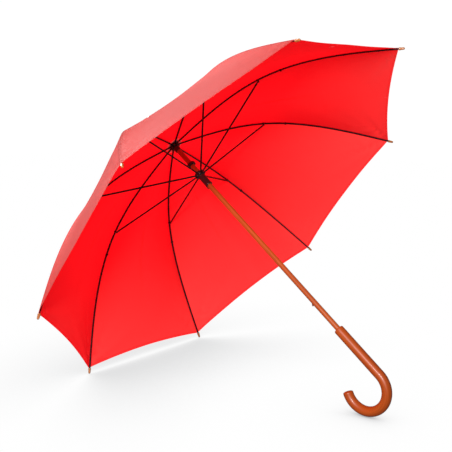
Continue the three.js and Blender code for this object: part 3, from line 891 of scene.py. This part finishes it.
# (distance, radius): the rounded shoulder from the handle's start, and the domed end past the bend
SHOULDER = ((0, 6.35), (0, 9.4), (0.35, 10.2), (1.2, 10.75), (2.6, 11.0))
DOME = ((0.8, 10.75), (1.6, 10.2), (2.3, 9.3), (3.0, 7.6), (3.5, 5.0), (3.7, 2.5), (3.75, 0.0))


def handle_stations():
    """Centre, angle of bend, radius and length run, from the shoulder to the domed end."""
    stations = []
    straight = [(HANDLE_START + run * MM, r * MM) for run, r in SHOULDER]
    straight += [(run, HANDLE_RADIUS) for run in np.linspace(HANDLE_START + 10 * MM, CROOK_START, 16)]
    for run, r in straight:
        stations.append((Vector((0, 0, -run)), 0.0, r, run))
    steps = 64
    for i in range(1, steps + 1):
        a = CROOK_ANGLE * i / steps
        centre = Vector((-CROOK_RADIUS * (1 - math.cos(a)), 0, -CROOK_START - CROOK_RADIUS * math.sin(a)))
        stations.append((centre, a, HANDLE_RADIUS, CROOK_START + CROOK_RADIUS * a))
    last, a, _, run = stations[-1]
    onwards = Vector((-math.sin(a), 0, -math.cos(a)))
    for beyond, r in DOME:
        stations.append((last + onwards * beyond * MM, a, r * MM, run + beyond * MM))
    return stations


def make_handle():
    """Straight grip, then the bend."""
    stations = handle_stations()
    segments = 48
    verts, faces, uvs = [], [], []
    for centre, a, r, run in stations:
        out = Vector((-math.cos(a), 0, math.sin(a)))
        for s in range(segments + 1):
            t = 2 * math.pi * s / segments
            verts.append(PLACE @ (centre + out * (r * math.cos(t)) + Vector((0, r * math.sin(t), 0))))
            uvs.append((t * HANDLE_RADIUS, run))
    for i in range(len(stations) - 1):
        for s in range(segments):
            a, b = i * (segments + 1) + s, (i + 1) * (segments + 1) + s
            faces.append((a, b, b + 1, a + 1))
    handle = mesh_object("crook_handle", verts, faces, uvs)
    face_outwards(handle, merge=1e-7)
    smooth_shaded(handle.data)
    cut_edges(handle, 50)
    handle.data.materials.append(HANDLE_WOOD)
    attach(handle, "shaft")
    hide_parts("handle")


make_handle()

ROSETTE_INNER, ROSETTE_OUTER = 6.8 * MM, 22.3 * MM
ROSETTE_BEND = 10.5 * MM  # where it starts to hang a little
ROSETTE_TOP = 2.1 * MM


def make_rosette():
    """A small wavy round of thin cloth round the crown, between the ribs' roots and the cover."""
    verts, faces = [], []
    rings, segments = 10, 96
    for i in range(rings + 1):
        q = i / rings
        r = ROSETTE_INNER + (ROSETTE_OUTER - ROSETTE_INNER) * q
        z = ROSETTE_TOP - 0.13 * max(0.0, r - ROSETTE_BEND)
        for s in range(segments):
            a = 2 * math.pi * s / segments
            wave = (0.25 * math.cos(8 * (a - HALF)) + 0.12 * math.sin(21 * a)) * q * MM
            frayed = r * (1 + 0.015 * q * math.sin(13 * a + 1))
            verts.append(world((frayed * math.cos(a), frayed * math.sin(a), z + wave)))
    for i in range(rings):
        for s in range(segments):
            t = (s + 1) % segments
            faces.append((i * segments + s, (i + 1) * segments + s, (i + 1) * segments + t, i * segments + t))
    rosette = mesh_object("rosette_cloth", verts, faces)
    rosette.data.materials.append(PALE)
    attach(rosette, "shaft")
    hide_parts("rosette")


make_rosette()


# ---- stage: it is only looked at, and takes no part in lighting the umbrella ----
def unseen_by_light(o):
    o.visible_diffuse = o.visible_glossy = o.visible_transmission = False
    o.visible_volume_scatter = o.visible_shadow = False


def glowing(name, strength=1.0):
    m = bpy.data.materials.new(name)
    m.use_nodes = True
    t = m.node_tree
    t.nodes.remove(t.nodes["Principled BSDF"])
    glow = node(t, "ShaderNodeEmission", Strength=strength)
    link(t, glow, "Emission", t.nodes["Material Output"], "Surface")
    return m, t, glow


def painted_shadow_floor_material():
    """Pale paper that glows evenly, with a painted shadow: a little darker where the umbrella hides it from
    the room, by ambient occlusion.
    """
    m, t, glow = glowing("floor_glow_painted_shadow")
    # painted shadow: ambient occlusion darkens the floor's glow under and beside the umbrella
    shade = node(t, "ShaderNodeAmbientOcclusion", samples=16, Distance=0.42)
    tone = ramp(t, [(0.0, (0.30, 0.30, 0.31)), (0.45, (0.70, 0.70, 0.705)),
                    (0.80, (0.93, 0.93, 0.932)), (0.97, (1, 1, 1))])
    link(t, shade, "AO", tone, "Fac")
    link(t, tone, "Color", glow, "Color")
    return m


bpy.ops.mesh.primitive_plane_add(size=12, location=(0, 0, -0.5 * MM))
floor = bpy.context.object
floor.name = "floor"
floor.data.materials.append(painted_shadow_floor_material())
unseen_by_light(floor)

bpy.ops.mesh.primitive_uv_sphere_add(radius=7.5, segments=48, ring_count=24, location=(0, 0, 0))
wall = bpy.context.object
wall.name = "studio_wall"
wall.data.materials.append(glowing("wall_paper", 1.02)[0])
unseen_by_light(wall)

# ---- light ----
world_data = bpy.data.worlds.new("studio")
scene.world = world_data
world_data.use_nodes = True
background = world_data.node_tree.nodes["Background"]
background.inputs["Color"].default_value = (1, 1, 1, 1)
background.inputs["Strength"].default_value = 0.14


def softbox(name, location, target, size, power):
    data = bpy.data.lights.new(name, "AREA")
    data.shape = "DISK"
    data.size = size
    data.energy = power
    o = bpy.data.objects.new(name, data)
    scene.collection.objects.link(o)
    o.location = location
    o.rotation_euler = (Vector(target) - Vector(location)).to_track_quat("-Z", "Y").to_euler()
    o.visible_camera = False


# one behind the cover, which glows through the cloth, and one above and to the left of the camera
softbox("back_softbox", (-2.6, 0.3, 1.9), (-0.1, 0, 0.4), 2.2, 160)
softbox("key_softbox", (1.09, -2.24, 1.25), (0.0, 0, 0.35), 0.8, 122)

scene.view_settings.view_transform = "Standard"
